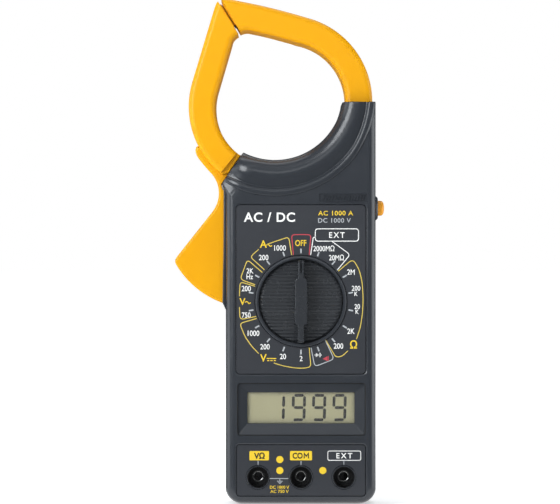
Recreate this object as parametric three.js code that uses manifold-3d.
// Hand-held clamp meter: a two-shell case, a fixed and a hinged current-transformer jaw,
// a rotary range switch, a display, input sockets, a hold button and a battery door.
// Units are millimetres. Everything is drawn face-on: u is to the right, v is up along the
// meter, w comes out of the front face. The whole drawing is then stood up, so that
// +Z is up, the front face looks along -Y and the origin is in the middle of the case's foot.
import * as THREE from "three";
import { mergeVertices } from "three/addons/utils/BufferGeometryUtils.js";
import { ConvexGeometry } from "three/addons/geometries/ConvexGeometry.js";
import Module from "manifold-3d";

const wasm = await Module();
wasm.setup();

// ---------------------------------------------------------------- driving dimensions
const HALF_W = 34.2;        // half the width of the case
const FOOT_R = 7.2;         // corner radius at the foot
const HORN_TOP = 182.5;     // where the fixed jaw leaves the case
const WALL = 2.0;           // case wall
const DRAFT = 0.6;          // how far the front shell's sides lean in between the joint and the face
const FOOT_FLAT = 5.0;      // how far forwards the flat of the foot runs
const FOOT_RISE = 0.253;    // rise of the foot per millimetre forwards of that
const FACE = 15.2;          // front face plane
const BACK = -15.5;         // rear face plane
const SPLIT = -1.0;         // joint plane between the two case shells
const GAP = 0.3;            // clearance kept between neighbouring pieces
const FRONT_IN = 12.8;      // inside of the front wall
const BACK_IN = -13.3;      // inside of the rear wall
const RING = { u: -11.77, v: 187.25, r: 30.8 };   // jaw opening, as far as the case bounds it
const RIDGE = { v: 186.0, out: 46.2 };          // outer ridge of the guard ring
const S0 = [-26.4, 159.5], S1 = [-35.5, 146.2];         // sloping end face, inner and outer end
const ROLL = { reach: 7.0, top: 16.9, fall: 0.4 };      // the front's fall towards that face
const PIVOT = { u: -21.82, v: 129.88, pin: 1.8, bore: 2.15, boss: 5.4 };
const TRIGGER_R = 40.54;    // arc under the trigger, centred on the pivot
const TRIG_W = [-7.6, 6.4]; // trigger thickness, rear and front
const TUBE_W = 10.5;        // half the thickness of the jaws
const COLLAR_W = 8.6;
const CORE_W = 5.5;         // half the depth of the iron core
const CORE_R = [34.6, 42.6]; // core inside the case, about the opening's centre
const KNOB = { v: 92.7, r: 18.6, hole: 18.95, flange: 20.3, top: 21.5 };
const JACKS = [-19.3, 0, 19.3], JACK_V = 13.5;
const PCB_W = [7.2, 8.8];
const BOSSES = [[-28.2, 60.4], [28.2, 60.4], [27.6, 149], [-10.5, 136.3]];
const HOLD = { v: 134.8, w: 3.4, r: 3.4 };
const DOOR = { u: 27.0, v0: 5.2, v1: 44.4 };

// ---------------------------------------------------------------- materials
const paint = (color, roughness, metalness) => new THREE.MeshStandardMaterial({ color, roughness, metalness });
const M = {
  case: paint(0x3b3e42, 0.45, 0.0), yellow: paint(0xf5b400, 0.38, 0.0), label: paint(0x3a3d41, 0.6, 0.0),
  knob: paint(0x2f3235, 0.5, 0.0), clear: paint(0xe8eeee, 0.08, 0.0), lcd: paint(0xb4b08c, 0.3, 0.0),
  board: paint(0x2c5a35, 0.5, 0.0), iron: paint(0x6d6f72, 0.4, 0.9), copper: paint(0xa65a2a, 0.35, 0.8),
  plating: paint(0xc9cacc, 0.25, 1.0), steel: paint(0xb0b3b6, 0.3, 1.0), black: paint(0x1b1c1e, 0.5, 0.0),
  bobbin: paint(0xe7e2d6, 0.5, 0.0), rubber: paint(0x55585c, 0.8, 0.0), brass: paint(0xc8a048, 0.3, 1.0),
  cell: paint(0x2a2c31, 0.35, 0.2), red: paint(0xb3201c, 0.45, 0.0), blue: paint(0x2a4f9c, 0.4, 0.0),
};

// ---------------------------------------------------------------- solid helpers
function solid(geometry) {
  const g = geometry.index ? geometry.toNonIndexed() : geometry.clone();
  for (const a of Object.keys(g.attributes)) if (a !== "position") g.deleteAttribute(a);
  const m = mergeVertices(g, 1e-4);
  const tri = new Uint32Array(m.index.array);
  const make = () => new wasm.Manifold(new wasm.Mesh({ numProp: 3, vertProperties: new Float32Array(m.attributes.position.array), triVerts: tri }));
  let s = make();
  if (s.volume() < 0) {
    for (let i = 0; i < tri.length; i += 3) [tri[i + 1], tri[i + 2]] = [tri[i + 2], tri[i + 1]];
    s = make();
  }
  return s;
}
const rad = (d) => (d * Math.PI) / 180;
const arc = (cu, cv, r, a0, a1, n) => Array.from({ length: n + 1 }, (_, i) => {
  const a = rad(a0 + ((a1 - a0) * i) / n);
  return [cu + r * Math.cos(a), cv + r * Math.sin(a)];
});
function shape(points, holes = []) {
  const s = new THREE.Shape(points.map((p) => new THREE.Vector2(p[0], p[1])));
  for (const h of holes) s.holes.push(new THREE.Path(h.map((p) => new THREE.Vector2(p[0], p[1]))));
  return s;
}
// An outline between two depths, with its edges rounded by `round` at both faces if asked.
function slab(points, w0, w1, round = 0, steps = 2, holes = []) {
  const g = new THREE.ExtrudeGeometry(shape(points, holes), {
    depth: w1 - w0 - 2 * round, bevelEnabled: round > 0, bevelThickness: round, bevelSize: round,
    bevelOffset: -round, bevelSegments: steps, curveSegments: 12,
  });
  g.translate(0, 0, w0 + round);
  return solid(g);
}
function rod(u, v, w0, w1, r, n = 20, r2 = r) {
  const g = new THREE.CylinderGeometry(r2, r, w1 - w0, n);
  g.rotateX(Math.PI / 2);
  g.translate(u, v, (w0 + w1) / 2);
  return solid(g);
}
function rodU(u0, u1, v, w, r, n = 20, r2 = r) {
  const g = new THREE.CylinderGeometry(r2, r, u1 - u0, n);
  g.rotateZ(-Math.PI / 2);
  g.translate((u0 + u1) / 2, v, w);
  return solid(g);
}
function block(u0, u1, v0, v1, w0, w1) {
  const g = new THREE.BoxGeometry(u1 - u0, v1 - v0, w1 - w0);
  g.translate((u0 + u1) / 2, (v0 + v1) / 2, (w0 + w1) / 2);
  return solid(g);
}
// A closed (r, w) profile turned about an axis along w.
function turned(profile, n, u = 0, v = 0) {
  const g = new THREE.LatheGeometry([...profile, profile[0]].map((p) => new THREE.Vector2(p[0], p[1])), n);
  g.rotateX(Math.PI / 2);
  g.translate(u, v, 0);
  return solid(g);
}
function roundRect(u0, u1, v0, v1, r, n = 3) {
  return [...arc(u1 - r, v0 + r, r, -90, 0, n), ...arc(u1 - r, v1 - r, r, 0, 90, n),
    ...arc(u0 + r, v1 - r, r, 90, 180, n), ...arc(u0 + r, v0 + r, r, 180, 270, n)];
}
function hull(points) { return solid(new ConvexGeometry(points.map((p) => new THREE.Vector3(...p)))); }
// A wire or spring along a curve, with a plain many-sided section.
function strand(curve, steps, r, sides) {
  const c = shape(Array.from({ length: sides }, (_, i) => [r * Math.cos((2 * Math.PI * i) / sides), r * Math.sin((2 * Math.PI * i) / sides)]));
  return solid(new THREE.ExtrudeGeometry(c, { steps, bevelEnabled: false, extrudePath: curve }));
}
const through = (pts) => new THREE.CatmullRomCurve3(pts.map((p) => new THREE.Vector3(...p)), false, "centripetal");
class Helix extends THREE.Curve {
  constructor(r, turns, length) { super(); Object.assign(this, { r, turns, length }); }
  getPoint(t, out = new THREE.Vector3()) {
    const a = 2 * Math.PI * this.turns * t;
    return out.set(this.length * t, this.r * Math.cos(a), this.r * Math.sin(a));
  }
}
const join = (...s) => s.reduce((a, b) => a.add(b));
const cut = (a, ...s) => s.reduce((x, b) => x.subtract(b), a);

const meter = new THREE.Group();
meter.rotation.x = Math.PI / 2;
const caseGroup = new THREE.Group(), jawGroup = new THREE.Group(), knobGroup = new THREE.Group(),
  buttonGroup = new THREE.Group(), doorGroup = new THREE.Group();
knobGroup.position.set(0, KNOB.v, 0);
meter.add(caseGroup, jawGroup, knobGroup, buttonGroup, doorGroup);
function geometryOf(s) {
  const m = s.getMesh(), n = m.numProp, v = new Float32Array(m.numVert * 3);
  for (let i = 0; i < m.numVert; i++) v.set(m.vertProperties.subarray(i * n, i * n + 3), i * 3);
  const g = new THREE.BufferGeometry();
  g.setAttribute("position", new THREE.BufferAttribute(v, 3));
  g.setIndex(new THREE.BufferAttribute(new Uint32Array(m.triVerts), 1));
  g.computeVertexNormals();
  return g;
}
function piece(group, name, s, material, at = [0, 0, 0]) {
  const m = new THREE.Mesh(s.isBufferGeometry ? s : geometryOf(s), material);
  m.name = name;
  m.position.set(...at);
  group.add(m);
  return m;
}

// ---------------------------------------------------------------- case outlines
const big = 60;
const slope = [S0[0] - S1[0], S0[1] - S1[1]], slopeL = Math.hypot(...slope);
const sd = [slope[0] / slopeL, slope[1] / slopeL];      // along the sloping face, upwards
const sn = [-sd[1], sd[0]];                             // out of the sloping face, up and to the left
const onSlope = (t, off) => [S1[0] + sd[0] * t + sn[0] * off, S1[1] + sd[1] * t + sn[1] * off];
const outsideSlope = (off, w0, w1) => slab([onSlope(-30, off), onSlope(60, off), onSlope(60, off + 60), onSlope(-30, off + 60)], w0, w1);
const caseOutline = [
  ...arc(HALF_W - FOOT_R, FOOT_R, FOOT_R, -90, 0, 5), [HALF_W, 205], [-36.9, 205], [-36.9, 149], [-HALF_W, 140.5],
  ...arc(-HALF_W + FOOT_R, FOOT_R, FOOT_R, 180, 270, 5),
];
const inR = RING.r + WALL;
const cavityOutline = [
  ...arc(HALF_W - FOOT_R, FOOT_R, FOOT_R - WALL, -90, 0, 3), [HALF_W - WALL, HORN_TOP - WALL],
  ...arc(RING.u, RING.v, inR, -12.2, -114.6, 18), [-HALF_W + WALL, 147.3],
  ...arc(-HALF_W + FOOT_R, FOOT_R, FOOT_R - WALL, 180, 270, 3),
];
const keepLow = (s) => cut(s, outsideSlope(0, -40, 40), block(-big, big, HORN_TOP, 260, -40, 40));
const lip = [[-33.4, 145.9], [-35.8, 145.8], [-35.0, 142.4], [-35.05, 120], [-35.5, 92], [-34.1, 88.9], [-33.4, 88.9]];
const coreWindow = slab([...arc(RING.u, RING.v, CORE_R[0] - GAP, -104, -128, 3), ...arc(RING.u, RING.v, CORE_R[1] + GAP, -128, -104, 3)], -CORE_W - GAP, CORE_W + GAP);
const tenonWindow = block(20.3, 32.1, 180, 190, -8.3, 8.3);

// ---------------------------------------------------------------- front case
{
  // sides that lean in from the joint, and a foot that rises towards the face
  const lean = new THREE.ExtrudeGeometry(shape(caseOutline.map(([u, v]) => [u, v < 20 ? v - 2 : v])), { depth: 20, bevelEnabled: true, bevelThickness: 20 - SPLIT, bevelSize: (DRAFT * (20 - SPLIT)) / (FACE - SPLIT), bevelOffset: (-DRAFT * (20 - SPLIT)) / (FACE - SPLIT), bevelSegments: 1 });
  lean.translate(0, 0, SPLIT - 20);
  const rise = FOOT_RISE * (20 - FOOT_FLAT);
  const foot = hull([[-50, -10, FOOT_FLAT], [50, -10, FOOT_FLAT], [-50, 0, FOOT_FLAT], [50, 0, FOOT_FLAT], [-50, -10, 20], [50, -10, 20], [-50, rise, 20], [50, rise, 20]]);
  const sides = cut(solid(lean), foot);
  let s = slab(caseOutline, -20, FACE, 3.4, 3).intersect(sides);
  s = cut(s, rod(RING.u, RIDGE.v, 10, 30, RIDGE.out - 0.1, 54), rod(RING.u, RING.v, -40, 40, RING.r, 54), block(-big, big, -big, 260, -40, SPLIT));
  const band = turned([[RING.r, 9], [RING.r, 12.8], [31.2, 14.6], [32.4, 16.1], [34.6, 16.8], [39.0, 16.8], [40.4, 16.2], [41.2, 15.0], [41.2, 9]], 54, RING.u, RING.v);
  const ridge = turned([[36, 9], [36, 14.6], [40.3, 14.9], [41.3, 16.0], [42.6, 16.4], [44.2, 16.1], [45.3, 15.3], [RIDGE.out, 14.2], [RIDGE.out, 9]], 54, RING.u, RIDGE.v);
  const ring = cut(join(band, ridge), rod(RING.u, RING.v, 0, 30, RING.r, 54));
  s = join(s, ring.intersect(sides), slab(lip, TRIG_W[1] + 0.4, 9.6));
  s = keepLow(s);
  // the front rolls down towards the sloping end
  const roll = (t, off, w) => [...onSlope(t, off), w];
  s = cut(s, hull([-30, 60].flatMap((t) => [roll(t, -ROLL.reach, ROLL.top), roll(t, 1, ROLL.top - ROLL.fall * (ROLL.reach + 1)), roll(t, 1, 30), roll(t, -ROLL.reach, 30)])));
  s = cut(s, cut(slab(cavityOutline, -30, FRONT_IN), block(-big, big, -1, 3.6, 4, 20)), coreWindow, tenonWindow);
  // trigger slot in the left wall
  s = cut(s, block(-45, -31, 90.2, 143.3, -30, TRIG_W[1] + 0.4));
  // display well with sloping sides, and its lip inside
  s = join(s, block(-30, 30, 31.2, 57.2, 12.3, 13));
  s = cut(s, hull([[-29, 32.2, FACE + 0.01], [29, 32.2, FACE + 0.01], [29, 55.9, FACE + 0.01], [-29, 55.9, FACE + 0.01], [-24.2, 37.6, 13.2], [24.2, 37.6, 13.2], [24.2, 51.6, 13.2], [-24.2, 51.6, 13.2]]),
    block(-24.2, 24.2, 37.6, 51.6, 10, 14));
  // recesses for the range plate and the socket plate
  s = cut(s, slab(roundRect(-29.4, 29.4, 59.8, 136.3, 2.2), 14.2, 20), slab(roundRect(-29.2, 29.2, 4.9, 28.3, 1.6), 14.2, 20));
  // range switch: collar, hole, and the detent ring inside
  s = join(s, rod(0, KNOB.v, 13, 15.9, 20.6, 36), rod(0, KNOB.v, 9.2, 13, 22.8, 24));
  const notches = join(...Array.from({ length: 18 }, (_, i) => rod(21.0 * Math.sin(rad(20 * i)), KNOB.v + 21.0 * Math.cos(rad(20 * i)), 5, FRONT_IN, 0.95, 5)));
  s = cut(s, rod(0, KNOB.v, -20, 30, KNOB.hole, 36), rod(0, KNOB.v, 5, FRONT_IN, 21.0, 36), notches);
  // input sockets: collars and shrouds
  for (const u of JACKS) {
    s = join(s, rod(u, JACK_V, 9.6, 15.2, 6.0, 20));
    s = cut(s, rod(u, JACK_V, -20, 30, 4.6, 20), cut(rod(u, JACK_V, 14.2, 16, 7.5, 20), rod(u, JACK_V, 14, 17, 5.3, 20)));
  }
  // hold button: a boss on the right wall and its bore
  s = join(s, rodU(HALF_W - 1.6, HALF_W + 0.8, HOLD.v, HOLD.w, 5.6, 20, 4.7).intersect(block(0, 60, 0, 200, SPLIT, 20)));
  s = cut(s, rodU(28, 45, HOLD.v, HOLD.w, HOLD.r + GAP, 20));
  // screw bosses and the pivot boss
  for (const [u, v] of BOSSES) s = cut(join(s, rod(u, v, SPLIT + 0.3, 13, 3.3, 14)), rod(u, v, -20, 9, 1.6, 10));
  s = cut(join(s, rod(PIVOT.u, PIVOT.v, TRIG_W[1] + 0.4, 13, 4.6, 18)), rod(PIVOT.u, PIVOT.v, -20, 12.5, PIVOT.bore, 16));
  piece(caseGroup, "front_case", s, M.case);
}

// ---------------------------------------------------------------- rear case
{
  const top = SPLIT - 0.15;
  let s = slab(caseOutline, BACK, 20, 4.2, 3);
  s = cut(s, rod(RING.u, RING.v, -30, -9.8, 36.8, 54), rod(RING.u, RING.v, -40, 40, RING.r, 54), block(-big, big, -big, 260, top, 40));
  const ring = turned([[RING.r, -8], [RING.r, -12.2], [31.4, -14.1], [32.6, -15.1], [34.4, BACK], [37.0, BACK], [37.0, -8]], 54, RING.u, RING.v);
  s = join(s, ring.intersect(slab(caseOutline, -20, -5, 0)), slab(lip, -10.6, TRIG_W[0] - 0.4));
  s = keepLow(s);
  s = cut(s, slab(cavityOutline, BACK_IN, 30), coreWindow, tenonWindow);
  s = cut(s, block(-45, -31, 90.2, 143.3, TRIG_W[0] - 0.4, 30));
  // battery bay wall, spring seat, door opening with a ledge
  s = join(s, block(-32.5, 32.5, 35.4, 36.9, -14, 4.6), block(-3.2, -1.4, 102, 118, -14, 4.8), block(-5.6, -1.4, 102, 103.4, -14, 4.8));
  s = cut(s, slab(roundRect(-DOOR.u, DOOR.u, DOOR.v0, DOOR.v1, 2.5), -20, -13.8), slab(roundRect(-DOOR.u + 1.6, DOOR.u - 1.6, DOOR.v0 + 1.6, 35.2, 1.5), -20, -10));
  s = cut(join(s, rod(0, 40.4, -13.8, -6, 3.4, 14)), rod(0, 40.4, -20, -7.2, 1.6, 10));
  // screw bosses with counterbores
  for (const [u, v] of BOSSES) {
    s = join(s, rod(u, v, -14, top, 4.2, 16));
    s = cut(s, rod(u, v, -20, -12.4, 3.0, 14), rod(u, v, -20, 20, 1.6, 10));
  }
  s = cut(join(s, rod(PIVOT.u, PIVOT.v, -14, TRIG_W[0] - 0.4, 4.6, 18)), rod(PIVOT.u, PIVOT.v, -12.9, 0, PIVOT.bore, 16));
  // the ends of the bosses that stand proud of the ring of the jaw core are trimmed level with the joint
  s = cut(s, block(-big, big, -big, 260, top, 40));
  // recess for the rating plate
  s = cut(s, slab(roundRect(-21, 21, 62, 96, 1.5), -20, BACK + 0.6));
  piece(caseGroup, "rear_case", s, M.case);
  piece(caseGroup, "rating_plate", slab(roundRect(-20.7, 20.7, 62.3, 95.7, 1.2), BACK + 0.1, BACK + 0.45), M.black);
}

// ---------------------------------------------------------------- front plates
{
  let s = slab(roundRect(-29.1, 29.1, 60.1, 136.0, 1.9), 14.4, 14.95);
  s = cut(s, rod(0, KNOB.v, 0, 30, 20.9, 36));
  piece(caseGroup, "range_plate", s, M.label);
  let t = slab(roundRect(-28.9, 28.9, 5.2, 28.0, 1.3), 14.4, 14.95);
  for (const u of JACKS) t = cut(t, rod(u, JACK_V, 0, 30, 5.6, 20));
  piece(caseGroup, "socket_plate", t, M.label);
}

// ---------------------------------------------------------------- jaws
const MO = [-11.81, 180.82], MI = [-11.98, 180.41];       // centres of the moving jaw's outer and inner curves
const movingTube = [
  [-37.04, 228.31], [-37.59, 228.18], [-38.23, 227.54], [-38.91, 226.22], [-39.73, 223.47],
  ...arc(MO[0], MO[1], 39.03, 163.3, 231.0, 12), ...arc(MI[0], MI[1], 26.69, 230.4, 163.3, 10),
  [-31.28, 209.53], [-30.83, 211.36], [-29.77, 212.6], [-28.27, 213.69],
];
const fixedTube = [
  [-27.5, 214.6], [-25.66, 215.25], [-23.83, 215.31], [-18.35, 214.2], [-12.86, 212.86], [-7.38, 211.36], [-4.64, 210.63],
  ...arc(-7.01, 182.93, 27.23, 79.3, -1.6, 11),
  ...arc(-6.85, 183.0, 39.26, -1.6, 74.6, 10), [-1.9, 222.46], [-7.38, 223.95], [-12.86, 225.36], [-18.35, 226.67],
  [-23.83, 227.8], [-29.49, 228.95], [-35.1, 229.97], [-35.95, 229.95], [-36.35, 229.4],
];
// The same tubes run on past both ends before their edges are rounded.
const movingLong = [[-24.0, 216.8], [-30, 240], [-35.17, 238.6], [-39.73, 223.47], ...arc(MO[0], MO[1], 39.03, 163.3, 240, 13),
  ...arc(MI[0], MI[1], 26.69, 240, 163.3, 11), ...movingTube.slice(-4)];
const fixedLong = [[-40, 208.7], ...fixedTube.slice(0, 7), ...arc(-7.01, 182.93, 27.23, 79.3, -9, 12), ...arc(-6.85, 183.0, 39.26, -9, 74.6, 11),
  ...fixedTube.slice(30, 36), [-52, 233.1]];
// The end faces of the two jaws meet along a line; the iron comes nearly up to it, the plastic stays back.
const MEET = { at: [-32.33, 221.4], along: [0.5216, -0.8532], out: [0.8532, 0.5216] };   // out points at the fixed jaw
const beyondMeet = (off, side) => {
  const q = (t, d) => [MEET.at[0] + MEET.along[0] * t + MEET.out[0] * d, MEET.at[1] + MEET.along[1] * t + MEET.out[1] * d];
  return slab([q(-20, off), q(20, off), q(20, off + side * 9), q(-20, off + side * 9)], -20, 20);
};
const collarIn = [-27.32, 158.78];
// Trigger plate with the lever that reaches the pivot inside the case.
const triggerPlate = [
  [-28.2, 158.6], [-35.2, 165.2], [-47.0, 162.93], [-47.73, 162.02], [-47.87, 160.64], [-47.37, 158.82], [-44.53, 154.92], [-42.18, 152.18],
  [-40.4, 150.35], [-39.13, 148.53], [-38.2, 146.7], [-37.61, 144.87], [-37.29, 143.04], [-37.24, 141.21], [-37.41, 139.39],
  [-37.85, 137.56], [-38.58, 135.73], [-39.61, 133.9], [-41.0, 132.07], [-55.48, 113.79], [-56.84, 111.97], [-57.15, 111.05],
  [-57.02, 110.14], [-56.09, 108.31], ...arc(PIVOT.u, PIVOT.v, TRIGGER_R, 214, 258.3, 10),
  [-29.0, 100], [-26.0, 106], [-26.0, 114], [-25.2, 122],
  ...arc(PIVOT.u, PIVOT.v, PIVOT.boss, 245, 455, 9), [-28, 139], [-31, 146],
];
// The case's sloping end and the corner under it, with clearance.
const besideCase = [[-30.0, 139.3], [-34.6, 142.8], [-35.65, 143.4], onSlope(-0.8, 0.35), onSlope(22, 0.35), onSlope(22, -20), [-20, 139.3]];
const collar = [collarIn, ...arc(MI[0], MI[1], 26.69, 233.5, 229.5, 2), ...arc(MO[0], MO[1], 38.9, 229.5, 232.5, 2), onSlope(5.5, 0.35)];
const movingCorePts = [
  [-35.1, 228.2], [-36.3, 227.5], [-37.65, 223.3], ...arc(MO[0], MO[1], 36.93, 163.3, 233.2, 10), ...arc(MO[0], MO[1], 28.83, 233.0, 163.3, 9), [-30.65, 217.3], [-29.4, 217.9],
];
const coreIn = (pts, g) => slab(pts, -CORE_W - g, CORE_W + g);
const movingChannel = coreIn([
  [-34.9, 228.5], [-36.6, 227.75], [-38.0, 223.4], ...arc(MO[0], MO[1], 37.23, 163.3, 243, 12), ...arc(MO[0], MO[1], 28.53, 240, 163.3, 10), [-30.2, 217.2], [-29.0, 216.9],
], GAP);
{
  const tube = slab(movingLong, -TUBE_W, TUBE_W, 2.0, 3).intersect(slab(movingTube, -20, 20));
  const collarS = slab(collar, -COLLAR_W, COLLAR_W, 0);
  const plate = slab(triggerPlate, TRIG_W[0], TRIG_W[1], 0.9, 2);
  const tipCut = slab([[-37.45 - 0.535 * 5, 228.18 + 0.845 * 5], [-28.27 + 0.535 * 6, 213.69 - 0.845 * 6], [-28.27 + 0.535 * 6 + 8, 213.69 - 0.845 * 6 + 5], [-37.45 - 0.535 * 5 + 8, 228.18 + 0.845 * 5 + 5]], -20, 20);
  let s = join(tube, collarS, plate);
  s = cut(s, tipCut, slab(besideCase, -20, 20),
    movingChannel, rod(PIVOT.u, PIVOT.v, -20, 20, PIVOT.bore, 16));
  const pocket = [[-53.6, 110.7], [-41.9, 125.5], [-37.6, 129.5], [-36.4, 95.2], [-45.6, 100.4]];
  const posts = [[-47.2, 110.8], [-39.6, 119.0]];
  const clear = (w0, w1) => posts.reduce((a, [u, v]) => cut(a, rod(u, v, w0 - 1, w1 + 1, 2.6, 12)), slab(pocket, w0, w1));
  let front = cut(s, block(-90, 20, 60, 250, -30, 0.15), clear(-5, TRIG_W[1] - 2));
  let rear = cut(s, block(-90, 20, 60, 250, -0.15, 30), clear(TRIG_W[0] + 2, 5));
  for (const [u, v] of posts) {
    front = cut(front, rod(u, v, -5, 4.2, 1.3, 10));
    rear = cut(rear, rod(u, v, -20, 5, 1.3, 10), rod(u, v, -20, TRIG_W[0] + 1.6, 2.3, 12));
  }
  piece(jawGroup, "moving_jaw_front", front, M.yellow);
  piece(jawGroup, "moving_jaw_rear", rear, M.yellow);
  const core = cut(coreIn(movingCorePts, 0), slab([onSlope(-20, 0.2), onSlope(40, 0.2), onSlope(40, -20), onSlope(-20, -20)], -20, 20), beyondMeet(-0.15, 1));
  piece(jawGroup, "moving_core", core, M.iron);
  const screw = join(rod(0, 0, 0, 1.3, 2.0, 12), rod(0, 0, 1.3, 10.6, 1.0, 8));
  const g = geometryOf(cut(screw, block(-2.2, 2.2, -0.3, 0.3, -1, 0.6), block(-0.3, 0.3, -2.2, 2.2, -1, 0.6)));
  posts.forEach(([u, v], i) => piece(jawGroup, "jaw_screw_" + (i + 1), g, M.steel, [u, v, TRIG_W[0] + 0.2]));
}
{
  const tenon = slab([[20.6, 172], [31.8, 172], [31.8, 184.5], [20.6, 184.5]], -8, 8, 0);
  const tube = cut(slab(fixedLong, -TUBE_W, TUBE_W, 2.0, 3).intersect(slab(fixedTube, -20, 20)), block(0, 60, 150, HORN_TOP + 0.15, -20, 20));
  const tipCut = slab([[-36.25 - 0.507 * 5, 229.45 + 0.862 * 5], [-27.38 + 0.507 * 6, 214.37 - 0.862 * 6], [-27.38 - 8, 214.37 - 0.862 * 6 - 5], [-36 - 12, 229.6]], -20, 20);
  const channel = coreIn([
    [-33.9, 228.2], [-35.6, 227.95], [-36.9, 227.4], [-29.3, 216.6], ...[[-24.0, 217.3]], [-11.9, 215.1], [-3.4, 212.5], ...arc(-6.93, 182.97, 29.0, 75, 4, 10), [21.9, 181],
    [31.0, 181], ...arc(-6.93, 182.97, 37.6, 3, 75, 10), [-7.9, 222.3], [-17.9, 224.8], [-29.7, 227.2],
  ], GAP).add(slab([...arc(RING.u, RING.v, CORE_R[0] - GAP, -2, -40, 6), ...arc(RING.u, RING.v, CORE_R[1] + GAP, -40, -2, 6)], -CORE_W - GAP, CORE_W + GAP));
  let s = cut(join(tube, tenon), tipCut, channel);
  piece(caseGroup, "fixed_jaw_front", cut(s, block(-90, 90, 100, 300, -30, 0.15)), M.yellow);
  piece(caseGroup, "fixed_jaw_rear", cut(s, block(-90, 90, 100, 300, -0.15, 30)), M.yellow);
  const core = coreIn([
    [-36.5, 227.2], [-31.0, 217.8], [-24.0, 217.7], [-11.9, 215.4], [-3.4, 212.9], ...arc(-6.93, 182.97, 29.3, 75, 0, 10),
    ...arc(RING.u, RING.v, CORE_R[0], -6, -126, 18), ...arc(RING.u, RING.v, CORE_R[1], -128, -6, 18),
    ...arc(-6.93, 182.97, 37.3, 0, 75, 10), [-7.9, 222.0], [-17.9, 224.5], [-29.7, 226.9], [-34.4, 227.75],
  ], 0);
  piece(caseGroup, "fixed_core", cut(core, outsideSlope(-0.1, -20, 20), beyondMeet(0.15, -1)), M.iron);
}

// ---------------------------------------------------------------- transformer coil on the fixed core
{
  const sector = (r0, r1, a0, a1, w, n = 8) => slab([...arc(RING.u, RING.v, r0, a0, a1, n), ...arc(RING.u, RING.v, r1, a1, a0, n)], -w, w);
  const bore = sector(CORE_R[0] - 0.25, CORE_R[1] + 0.25, -50, -115, CORE_W + 0.25, 14);
  let b = join(sector(33.8, 43.4, -62, -100, 6.9), sector(33.1, 45.3, -62, -64, 10, 2), sector(33.1, 45.3, -98, -100, 10, 2));
  piece(caseGroup, "coil_bobbin", cut(b, bore), M.bobbin);
  const wind = cut(sector(33.2, 44.9, -64.5, -97.5, 9.6), sector(33.55, 43.7, -55, -110, 7.2, 12));
  piece(caseGroup, "coil_winding", wind, M.copper);
}

// ---------------------------------------------------------------- pivot pin and return spring
piece(caseGroup, "pivot_pin", rod(PIVOT.u, PIVOT.v, -12.6, 12.2, PIVOT.pin, 16), M.steel);
piece(caseGroup, "jaw_return_spring", strand(new Helix(3.4, 7, 21.4), 70, 0.4, 4), M.steel, [-25.2, 110, -1]);

// ---------------------------------------------------------------- circuit board and what it carries
{
  let s = slab([[-31, 6], [31, 6], [31, 56.2], [24, 56.2], [24, 64.6], [31, 64.6], [31, 141.5], [15, 141.5], [15, 131.2], [-13, 131.2], [-15.5, 128.5],
    [-15.5, 121], [-31, 121], [-31, 64.6], [-24, 64.6], [-24, 56.2], [-31, 56.2]], PCB_W[0], PCB_W[1]);
  s = cut(s, rod(0, KNOB.v, 0, 30, 4.2, 16), ...JACKS.map((u) => rod(u, JACK_V, 0, 30, 3.3, 14)));
  piece(caseGroup, "main_board", s, M.board);
  const dome = new THREE.LatheGeometry([[0, 0], [6.2, 0], [5.8, 0.7], [4.2, 1.3], [0, 1.6]].map((p) => new THREE.Vector2(...p)), 16);
  dome.rotateX(-Math.PI / 2);
  piece(caseGroup, "converter_chip", solid(dome), M.black, [12, 70, PCB_W[0] - 0.1]);
  piece(caseGroup, "buzzer_disc", rod(0, 0, 0, 1.4, 7.5, 20), M.brass, [20, 108, PCB_W[0] - 1.6]);
  const trim = join(block(-3.2, 3.2, -3.2, 3.2, 0, 3.4), rod(0, 0, -0.6, 0, 2.2, 12));
  piece(caseGroup, "calibration_trimmer", cut(trim, block(-1.8, 1.8, -0.3, 0.3, -1, -0.2)), M.blue, [-8, 66, PCB_W[0] - 3.6]);
  piece(caseGroup, "filter_capacitor_1", rodU(-4, 4, 0, 0, 2.5, 14), M.blue, [4, 122, PCB_W[0] - 2.8]);
  piece(caseGroup, "filter_capacitor_2", rodU(-4, 4, 0, 0, 2.5, 14), M.blue, [22, 84, PCB_W[0] - 2.8]);
  piece(caseGroup, "protection_resistor", rodU(-5, 5, 0, 0, 1.8, 12), M.bobbin, [-14, 76, PCB_W[0] - 2.1]);
}

// ---------------------------------------------------------------- display
{
  piece(caseGroup, "display_window", block(-26.6, 26.6, 33.5, 55.7, 11.2, 12.1), M.clear);
  piece(caseGroup, "display_glass", join(block(-26.4, 26.4, 33.7, 55.5, 10.2, 11.0), block(-26.4, 26.4, 36.4, 52.8, 9.2, 10.2)), M.lcd);
  const frame = slab(roundRect(-30, 30, 31.4, 56.8, 1.2, 2), 9.0, 12.1);
  piece(caseGroup, "display_frame", cut(frame, block(-26.9, 26.9, 33.2, 56.0, 0, 30)), M.black);
  const strip = block(-23, 23, 0, 2.0, 8.95, 10.05);
  piece(caseGroup, "contact_strip_upper", strip, M.rubber, [0, 53.2, 0]);
  piece(caseGroup, "contact_strip_lower", strip, M.rubber, [0, 34.0, 0]);
}

// ---------------------------------------------------------------- input sockets
{
  const s = turned([[1.9, 5.4], [2.9, 5.4], [2.9, 8.95], [3.9, 8.95], [3.9, 9.35], [2.6, 9.35], [2.4, 9.9], [1.9, 9.9]], 14);
  const g = geometryOf(s);
  ["socket_volt_ohm", "socket_common", "socket_external"].forEach((n, i) => piece(caseGroup, n, g, M.plating, [JACKS[i], JACK_V, 0]));
}

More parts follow.
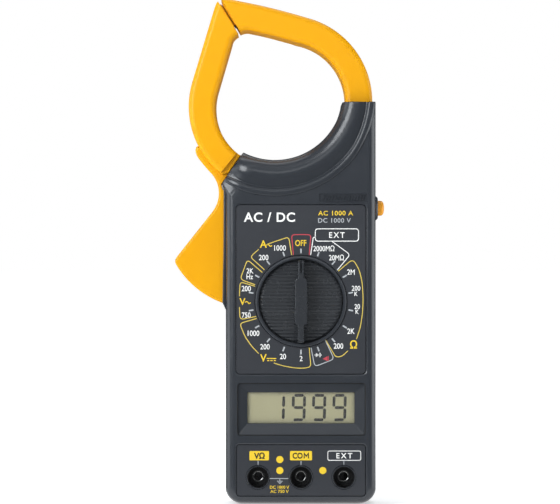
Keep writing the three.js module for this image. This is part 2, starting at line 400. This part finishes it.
// ---------------------------------------------------------------- hold button and its switch
{
  const s = join(rodU(31.4, 36.6, HOLD.v, HOLD.w, HOLD.r, 20), rodU(36.6, 37.6, HOLD.v, HOLD.w, HOLD.r, 20, HOLD.r - 0.6), rodU(37.6, 37.9, HOLD.v, HOLD.w, HOLD.r - 0.6, 20, HOLD.r - 1.6));
  piece(buttonGroup, "hold_button", cut(s, rodU(25, 32.9, HOLD.v, HOLD.w, 1.5, 8)), M.yellow);
  piece(buttonGroup, "hold_plunger", rodU(26.6, 32.6, HOLD.v, HOLD.w, 1.1, 8), M.black);
  piece(caseGroup, "hold_switch_body", cut(block(17.5, 27.9, 130.8, 138.8, 1.4, 7.0), rodU(23.5, 40, HOLD.v, HOLD.w, 1.5, 8)), M.black);
}

// ---------------------------------------------------------------- range switch
{
  const bar = [[-1.3, -18.2], [1.3, -18.2], [1.3, -10.6], [2.8, -9.4], [2.8, 9.4], [1.3, 10.6], [1.3, 18.2], [-1.3, 18.2], [-1.3, 10.6], [-2.8, 9.4], [-2.8, -9.4], [-1.3, -10.6]];
  let s = turned([[0, 9.5], [KNOB.flange, 9.5], [KNOB.flange, 12.5], [KNOB.r, 12.5], [KNOB.r, 15.6], [18.3, 15.9], [17.6, 15.8], [13.0, 14.8], [0, 14.4]], 36);
  s = join(s, slab(bar, 13, KNOB.top, 0.5, 1), rod(0, 0, 6.9, 10, 3.6, 16));
  for (const k of [-1, 1]) s = cut(s, k > 0 ? rodU(13.2, 22, 0, 10.95, 1.3, 10) : rodU(-22, -13.2, 0, 10.95, 1.3, 10));
  for (const a of [90, 210, 330]) s = cut(s, slab([[5, -1.6], [16.2, -1.6], [16.2, 1.6], [5, 1.6]].map(([x, y]) => [x * Math.cos(rad(a)) - y * Math.sin(rad(a)), x * Math.sin(rad(a)) + y * Math.cos(rad(a))]), 9, 10.1));
  piece(knobGroup, "range_knob", s, M.knob);
  [90, 210, 330].forEach((a, i) => {
    const c = join(block(5.6, 15.6, -1.0, 1.0, 9.55, 9.85), hull([[13, -1, 9.55], [13, 1, 9.55], [15.6, -1, 9.55], [15.6, 1, 9.55], [14.2, -1, 9.0], [14.2, 1, 9.0], [13, -1, 9.85], [13, 1, 9.85], [15.6, -1, 9.85], [15.6, 1, 9.85]]));
    piece(knobGroup, "wiper_contact_" + (i + 1), c, M.brass).rotation.z = rad(a);
  });
  const ball = new THREE.SphereGeometry(1.1, 10, 6), spring = geometryOf(strand(new Helix(0.85, 4, 4.0), 28, 0.18, 4));
  piece(knobGroup, "detent_ball_1", ball, M.steel, [19.55, 0, 10.95]);
  piece(knobGroup, "detent_ball_2", ball, M.steel, [-19.55, 0, 10.95]);
  piece(knobGroup, "detent_spring_1", spring, M.steel, [13.9, 0, 10.95]);
  piece(knobGroup, "detent_spring_2", spring, M.steel, [-17.9, 0, 10.95]);
}

// ---------------------------------------------------------------- battery, its connector and leads
{
  piece(caseGroup, "battery", join(slab(roundRect(-26, 19.6, 7.6, 34.1, 1.2, 2), -13.2, 4.0), rodU(19.4, 22.0, 14.5, -4.6, 2.8, 12), rodU(19.4, 21.6, 27.2, -4.6, 3.9, 12)), M.cell);
  piece(caseGroup, "battery_connector", cut(block(19.9, 25.2, 8.0, 33.7, -12.4, 3.2), rodU(10, 22.4, 14.5, -4.6, 3.1, 12), rodU(10, 22.4, 27.2, -4.6, 4.2, 12)), M.black);
  piece(caseGroup, "battery_lead_red", strand(through([[25.6, 25, 0], [28, 25.4, 0.6], [29.2, 29, 2.5], [29.3, 35, 5.7], [29.2, 42, 5.9], [27.0, 48, 5.9]]), 14, 0.6, 6), M.red);
  piece(caseGroup, "battery_lead_black", strand(through([[25.6, 17, 0], [28.4, 18, 0.4], [30.4, 24, 2.2], [30.9, 33, 5.6], [30.9, 42, 5.9], [30.0, 50, 5.9]]), 14, 0.6, 6), M.black);
  piece(caseGroup, "coil_lead_1", strand(through([[8, 143.6, 8.2], [9.5, 141, 6.5], [11, 137, 4.6], [12.2, 130, 5.8], [12.6, 127, 6.6]]), 12, 0.5, 6), M.red);
  piece(caseGroup, "coil_lead_2", strand(through([[5.5, 142.6, 8.2], [6.4, 140, 6.5], [7.4, 136.5, 4.6], [8.2, 130.5, 5.4], [8.4, 127.8, 6.6]]), 12, 0.5, 6), M.black);
}

// ---------------------------------------------------------------- battery door
{
  let s = slab(roundRect(-DOOR.u + GAP, DOOR.u - GAP, DOOR.v0 + GAP, DOOR.v1 - GAP, 2.2), BACK, -14.0);
  s = cut(s, rod(0, 40.4, -20, -14.6, 3.1, 14), rod(0, 40.4, -20, 0, 1.6, 10));
  for (let i = 0; i < 5; i++) s = cut(s, block(-12, 12, 12 + 3 * i, 13.2 + 3 * i, -20, BACK + 0.5));
  piece(doorGroup, "battery_door", s, M.case);
  const screw = cut(join(rod(0, 0, 0, 0.6, 2.7, 14), rod(0, 0, 0.6, 7.0, 1.25, 10)), block(-2.0, 2.0, -0.3, 0.3, -1, 0.35), block(-0.3, 0.3, -2.0, 2.0, -1, 0.35));
  piece(doorGroup, "battery_door_screw", screw, M.steel, [0, 40.4, -15.35]);
}

// ---------------------------------------------------------------- case screws
{
  const s = cut(join(rod(0, 0, 0, 1.9, 2.6, 14), rod(0, 0, 1.9, 19.5, 1.3, 10)), block(-1.9, 1.9, -0.35, 0.35, -1, 1.0), block(-0.35, 0.35, -1.9, 1.9, -1, 1.0));
  const g = geometryOf(s);
  BOSSES.forEach(([u, v], i) => piece(caseGroup, "case_screw_" + (i + 1), g, M.steel, [u, v, -14.6]));
}

export default meter;
